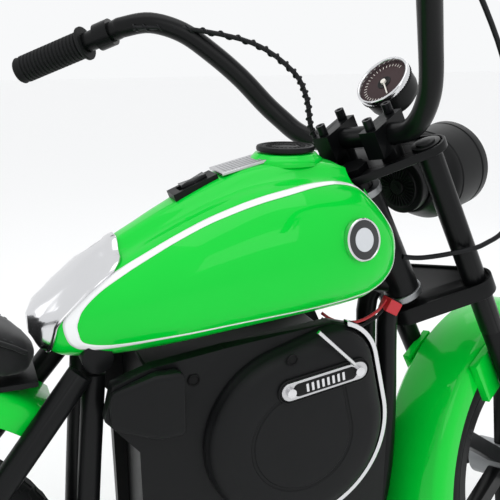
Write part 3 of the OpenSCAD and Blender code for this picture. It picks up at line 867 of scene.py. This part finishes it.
seam_run = [seam_point(x, 1, math.radians(33), 3.2) for x in range(160, -97, -3)]
seam_run += [
    Vector((-97.5 * mm, p.y * k, p.z)) for p in (seam_run[-1],) for k in (0.8, 0.5, 0.2, -0.2, -0.5, -0.8)
]
seam_run += [Vector((p.x, -p.y, p.z)) for p in reversed(seam_run[: len(range(160, -97, -3))])]
piping = tube("seat_piping", seam_run, 2.2, 10)
settle(piping, leatherette, "frame", angle=60)
thread = finish("black_polyester_thread", "#2A2C2E", 0.6, grain=0.4, depth=0.05)
stitches = []
for side in (1, -1):
    for i in range(44):
        x = 148 - 5.4 * i
        here, ahead = seam_point(x, side, math.radians(46), 4.0), seam_point(
            x - 3, side, math.radians(46), 4.0
        )
        along = (ahead - here).normalized()
        turn = along.to_track_quat("X", "Z").to_matrix().to_4x4()
        stitches.append(Matrix.Translation(here) @ turn)
repeated(
    "seat_stitches",
    stations_at("stitch_points", stitches),
    small_block("stitch", 3.6, 0.9, 0.8, 0.25),
    thread,
    "frame",
)

# ---- Fenders, lamp and wheels ----
# Moulded green fenders under clear coat; black cast rims with six spokes; rubber tyres with a ribbed
# tread; a hub motor with cooling fins behind and a plain drum hub in front.
for source in ("rear_fender", "front_fender"):
    refined(source, green_paint, 1.2, angle=50, segments=3)
refined("tail_lamp", finish("red_lamp_lens", "#C01420", 0.12, coat=1.0, grain=4, depth=0.02), 1.6)
cast_alloy = finish("cast_aluminium", "#9A9C9E", 0.42, metal=1.0, grain=1.4, depth=0.05, shade=0.1, wear=0.1)
turned_steel = finish(
    "turned_steel", "#A9ABAD", 0.28, metal=1.0, grain=0.5, depth=0.015, shade=0.06, wear=0.08
)
for source in ("rear_hub", "front_hub", "brake_caliper", "headset_cups"):
    refined(source, cast_alloy, 1.0)
for source in ("rear_axle", "front_axle", "motor_stator", "brake_disc"):
    refined(source, turned_steel, 0.4)
for source in ("rear_rim", "front_rim"):
    refined(source, powder_coat, 1.5, segments=3)
tyre_rubber = finish("tyre_rubber", "#131415", 0.7, grain=1.0, depth=0.06, shade=0.15, wear=0.06)
side_profile = [
    (142, 24),
    (146, 26.5),
    (150, 29),
    (158, 29.6),
    (166, 29.4),
    (173, 28.4),
    (180, 25),
    (186, 20.6),
    (190.5, 16),
    (193, 12),
    (193.4, 9),
]
tyre_profile = [(r, -y) for r, y in side_profile] + [(193.6, 0)] + [(r, y) for r, y in reversed(side_profile)]
rear_wheel = Matrix.Rotation(math.radians(90), 4, "X")
front_wheel = fork @ Matrix.Translation((0.056, 0, -0.4674)) @ Matrix.Rotation(math.radians(90), 4, "X")


def carcass(name, matrix):
    """The tyre's own round body: an open profile spun right round and closed along the bead."""
    n, rings = 144, []
    for k in range(n + 1):
        a = 2 * math.pi * k / n
        rings.append(
            [matrix @ Vector((r * math.cos(a) * mm, r * math.sin(a) * mm, h * mm)) for r, h in tyre_profile]
        )
    return new_piece(name, *loft(rings, closed_ends=False))


for name, matrix, body, source in (
    ("rear_tyre_carcass", rear_wheel, "rear_wheel", "rear_tyre"),
    ("front_tyre_carcass", front_wheel, "front_wheel", "front_tyre"),
):
    settle(carcass(name, matrix), tyre_rubber, body, (source,), angle=50)
    blocks = []
    for k in range(66):
        for row, turn in ((-13.5, 24), (0, 0), (13.5, -24)):
            a = 360 * (k + (0.5 if row else 0)) / 66
            radius = 193.2 if row == 0 else 190.8
            lean = 0 if row == 0 else math.copysign(22, -row)
            spot = matrix @ Matrix.Rotation(math.radians(a), 4, "Z") @ Matrix.Translation((radius * mm, 0, row * mm)) @ Matrix.Rotation(math.radians(90), 4, "Y")
            blocks.append(
                spot @ Matrix.Rotation(math.radians(lean), 4, "Y") @ Matrix.Rotation(math.radians(turn), 4, "Z")
            )
    repeated(
        name.replace("carcass", "tread"),
        stations_at(name + "_points", blocks),
        small_block("tread_block", 9.5, 12.5, 1.5, 0.3),
        tyre_rubber,
        body,
    )

# ---- Fork, clamps and bars ----
# Powder-coated fork tubes in pressed clamps with a raised rim; two forged risers hold a bent 22 mm
# bar with four socket-head bolts; ribbed rubber grips, cast levers.
satin_paint = finish("satin_black_enamel", "#0B0C0D", 0.3, grain=2.2, depth=0.015, shade=0.06, wear=0.05)
for source in (
    "steering_stem",
    "upper_clamp",
    "fork_upper_tubes",
    "fork_lower_legs",
    "bar_risers",
    "lever_perches",
    "top_nuts",
):
    refined(source, satin_paint, 1.2, segments=3)
refined("riser_bolts", finish("black_oxide_steel", "#141517", 0.34, metal=0.3, grain=1, depth=0.01), 0.5)
for source in ("brake_lever_left", "brake_lever_right"):
    refined(source, cast_alloy, 0.8)

bar_half = [
    (29, 0, 28), (29, 20, 28), (29, 44, 28), (28, 64, 31), (26, 82, 43), (26, 97, 61), (24, 109, 82), (20, 124, 118), (12, 141, 154),
    (1, 159, 187), (-16, 181, 210), (-35, 204, 218),
]
grip_way = Vector((-62, 98, 2)).normalized()
bar_tip = Vector((-35, 204, 218)) + grip_way * 12
half_run = through(
    bar_half + [tuple(bar_tip), tuple(bar_tip + grip_way * 60), tuple(bar_tip + grip_way * 120)], 6
)
whole = [
    fork @ (Vector((x, -y, z)) * mm) for x, y, z in reversed(half_run)
] + [fork @ (Vector(p) * mm) for p in half_run[1:]]
bar = tube("handlebar_tube", whole, 11.05, 32)
settle(bar, satin_paint, "steering", ("handlebar",), angle=60)

grip_rubber = finish("ribbed_grip_rubber", "#121314", 0.62, grain=0.8, depth=0.05, shade=0.1)


def grip_frame(side, along):
    start = Vector(bar_tip + grip_way * along)
    way = Vector((grip_way.x, grip_way.y * side, grip_way.z))
    start = Vector((start.x, start.y * side, start.z))
    return fork @ Matrix.Translation(start * mm) @ way.to_track_quat("Z", "X").to_matrix().to_4x4()


grip_profile = [(11.3, 0), (18.4, 0), (19, 0.8), (19, 3.2), (18.2, 4.2), (15.4, 5.2)]
for i in range(16):
    z = 7 + i * 4.9
    grip_profile += [(14.3, z), (15.4, z + 0.8), (15.4, z + 3.2), (14.3, z + 4.0)]
grip_profile += [(14.8, 88), (15.2, 90), (13.8, 92), (0.3, 92)]
for side, body, source in ((1, "steering", "left_grip"), (-1, "throttle", "throttle_grip")):
    grip = new_piece(
        source + "_ribbed", *lathe([(11.3, 87), (11.3, 0.2)] + grip_profile, grip_frame(side, 36), 48)
    )
    settle(grip, grip_rubber, body, (source,), angle=40)


def clamp_rim(name, z_low, z_high, boss, leg, width, body):
    """The raised lip that runs round a pressed clamp."""
    outline = []
    for k in range(200):
        a = 2 * math.pi * k / 200
        d = Vector((math.cos(a), math.sin(a)))
        spots = [Vector((0, 0)) + d * boss, Vector((46, 61)) + d * leg, Vector((46, -61)) + d * leg]
        outline.append((max(spots, key=lambda p: p.dot(d)), d))
    rings = []
    for inset, z in (
        (0.2, z_low),
        (-0.5, z_low + 0.6),
        (-0.5, z_high - 0.8),
        (0.1, z_high),
        (width - 0.6, z_high),
        (width, z_high - 0.6),
        (width, z_low),
    ):
        rings.append([fork @ (Vector((p.x - d.x * inset, p.y - d.y * inset, z)) * mm) for p, d in outline])
    points, faces = loft(rings, closed_ends=False)
    n = len(outline)
    last = (len(rings) - 1) * n
    faces += [(last + k, k, (k + 1) % n, last + (k + 1) % n) for k in range(n)]
    return settle(new_piece(name, points, faces), satin_paint, body, angle=40)


clamp_rim("upper_clamp_rim", -3.5, 5.4, 24, 19.4, 2.6, "steering")
clamp_rim("lower_clamp_rim", -179.5, -159.6, 24.3, 18.6, 2.4, "steering")

# ---- Gauge, headlamp and horn ----
# A round dial in a black cup with a bright bezel; a black lamp bucket with vent slots behind a domed
# glass; the horn disc with its ring of fins faces back through the fork.
gauge = fork @ Matrix.Translation((0.091, 0, 0.063)) @ Matrix.Rotation(math.radians(-25), 4, "Y")
cup_profile = [
    (0.3, -36.5),
    (16, -36.5),
    (22, -35),
    (26.5, -31),
    (28.4, -25),
    (29.2, -14),
    (29.4, -10),
    (30.6, -9.6),
    (30.6, -6),
    (29.0, -5.6),
]
cup = new_piece(
    "gauge_cup_turned", *lathe(cup_profile + [(28.4, -5.6), (28.4, -7.4), (0.3, -7.6)], gauge, 72)
)
settle(cup, satin_black, "steering", ("gauge_cup",), angle=40)
knurl = [
    gauge @ Matrix.Rotation(math.radians(6 * k), 4, "Z") @ Matrix.Translation((0.0303, 0, -0.0078)) @ Matrix.Rotation(math.radians(90), 4, "Y")
    for k in range(60)
]
repeated(
    "gauge_knurl",
    stations_at("knurl_points", knurl),
    small_block("knurl_rib", 3.4, 1.5, 0.9, 0.2),
    satin_black,
    "steering",
)
bezel = new_piece(
    "gauge_bezel",
    *lathe(
        [
            (28.2, -6.8),
            (30.8, -6.4),
            (31.2, -4),
            (31.2, -1.6),
            (30.6, -0.4),
            (29.4, 0),
            (28.3, -0.6),
            (27.9, -2.2),
            (27.9, -6.6),
        ],
        gauge,
        72,
    ),
)
settle(bezel, bright, "steering", angle=50)
dial_ink = finish("printed_dial", "#2A0C10", 0.6, grain=2, depth=0.004, shade=0.2)
dial = new_piece("gauge_dial", *lathe([(27.9, -7.2), (27.9, -6.1), (26.4, -5.7), (0.3, -5.6)], gauge, 64))
settle(dial, dial_ink, "steering", angle=30)
pale_ink = finish("pale_dial_ink", "#E9E4DC", 0.5, grain=2, depth=0.002)
ticks = [
    gauge @ Matrix.Rotation(math.radians(a), 4, "Z") @ Matrix.Translation((0.0232, 0, -0.0057))
    for a in range(-35, 216, 10)
]
repeated(
    "gauge_ticks",
    stations_at("tick_points", ticks),
    small_block("tick", 3.2, 0.6, 0.3, 0.0),
    pale_ink,
    "steering",
)
needle_hub = new_piece(
    "gauge_hub", *lathe([(8, -5.8), (8, -5.2), (7.4, -5.0), (6.8, -5.2), (0.3, -5.2)], gauge, 40)
)
settle(needle_hub, satin_black, "steering", angle=30)
refined("gauge_needle", pale_ink, 0.15)
stalk_route = [
    fork @ (Vector(p) * mm)
    for p in through([(60, 0, 4), (70, 0, 8), (84, 0, 18), (98, 0, 30), (103, 0, 36)], 4)
]
settle(tube("gauge_stalk", stalk_route, 5, 20), satin_paint, "steering", angle=50)

lamp = fork @ Matrix.Translation((0.056, 0, -0.048)) @ Matrix.Rotation(math.radians(106), 4, "Y")
bucket_profile = [
    (0.3, 12), (20, 12), (33, 12.6), (34.5, 14), (36, 18), (40, 25), (44.5, 33), (47.5, 39), (49.4, 43), (49.8, 47), (48.8, 48.4),
    (48.8, 50), (49.9, 51.4), (50.1, 60), (50.1, 88), (49.0, 89), (49.0, 90.6), (50.1, 91.6), (50.1, 100.6), (49.2, 102.4), (46.6, 102.4),
    (46.2, 101), (46.2, 56), (0.3, 50),
]
bucket = new_piece("lamp_bucket", *lathe(bucket_profile, lamp, 96))
settle(bucket, satin_black, "steering", ("headlamp_bucket",), angle=35)
slots = [
    lamp @ Matrix.Rotation(math.radians(a), 4, "Z") @ Matrix.Translation((0.0462, 0, 0.0345)) @ Matrix.Rotation(math.radians(60), 4, "Y")
    for a in range(130, 235, 9)
]
repeated(
    "lamp_vents",
    stations_at("vent_points", slots),
    small_block("vent", 14, 2.6, 1.8, 0.3),
    satin_black,
    "steering",
)
lens_glass = finish("lamp_glass", "#E6ECF0", 0.06, grain=8, depth=0.01, ior=1.5)
lens_glass.node_tree.nodes["Principled BSDF"].inputs["Transmission Weight"].default_value = 0.6
lens = new_piece(
    "lamp_lens",
    *lathe(
        [(45.9, 97.4), (45.9, 101.6), (44, 103.6), (38, 105.4), (28, 106.8), (14, 107.6), (0.3, 107.8)],
        lamp,
        72,
    ),
)
settle(lens, lens_glass, "steering", ("headlamp_lens",), angle=50)
bracket_points = [
    (50, -9, -6.5),
    (116, -9, -6.5),
    (116, 9, -6.5),
    (50, 9, -6.5),
    (50, -9, -2.2),
    (116, -9, -2.2),
    (116, 9, -2.2),
    (50, 9, -2.2),
]
strap = new_piece(
    "lamp_strap",
    [fork @ (Vector(p) * mm) for p in bracket_points],
    [(0, 3, 2, 1), (4, 5, 6, 7), (0, 1, 5, 4), (1, 2, 6, 5), (2, 3, 7, 6), (3, 0, 4, 7)],
)
settle(strap, satin_paint, "steering", bevel=0.8, segments=3)
horn_profile = [
    (0.3, -6),
    (3.2, -6),
    (3.4, -5.2),
    (7.6, -5.2),
    (8.2, -4.6),
    (8.2, -3),
    (23, -2.8),
    (24, -2),
    (24.2, -0.4),
    (30, 0),
    (31, 1),
    (31, 11.8),
    (0.3, 11.9),
]
horn = new_piece("horn_disc", *lathe(horn_profile, lamp, 72))
settle(horn, satin_black, "steering", ("horn",), angle=35)
fins = [
    lamp @ Matrix.Rotation(math.radians(12 * k), 4, "Z") @ Matrix.Translation((0.0158, 0, -0.0042))
    for k in range(30)
]
repeated(
    "horn_fins",
    stations_at("fin_points", fins),
    small_block("fin", 12, 1.1, 1.6, 0.2),
    satin_black,
    "steering",
)

# ---- Control cables ----
# The right lever's cable in a smooth black sheath, looped outside the fork leg to the head tube, and
# the left switch's wires in a spiral wrap down to the upper clamp.
sheath = finish("black_cable_sheath", "#141517", 0.38, grain=1.2, depth=0.01)
cable_run = [
    (-47, -206, 228),
    (10, -176, 214),
    (64, -150, 160),
    (106, -132, 60),
    (112, -118, -40),
    (84, -98, -112),
    (50, -86, -118),
    (24, -66, -112),
    (2, -42, -104),
    (-14, -32, -92),
]
wrap_run = [
    (-36, 186, 214),
    (0, 150, 190),
    (30, 96, 150),
    (34, 60, 110),
    (28, 50, 80),
    (17, 50, 50),
    (12, 44, 20),
    (11, 40, 3),
]
for name, run, radius, source in (
    ("front_brake_cable", cable_run, 2.6, "control_cables"), ("switch_wire", wrap_run, 2.6, None)
):
    route = [fork @ (Vector(p) * mm) for p in through(run, 6)]
    cable = tube(name, route, radius, 16)
    settle(cable, sheath, "steering", (source,) if source else (), angle=60)
wrap_route = [fork @ (Vector(p) * mm) for p in through(wrap_run, 40)]
spiral = []
for i in range(len(wrap_route)):
    along = (wrap_route[min(i + 1, len(wrap_route) - 1)] - wrap_route[max(i - 1, 0)]).normalized()
    side_way = along.cross(Vector((0.3, 0.9, 0.1))).normalized()
    other = along.cross(side_way)
    a = i * 0.62
    spiral.append(wrap_route[i] + (side_way * math.cos(a) + other * math.sin(a)) * 3.2 * mm)
settle(tube("wire_spiral_wrap", spiral, 1.1, 8), sheath, "steering", angle=60)
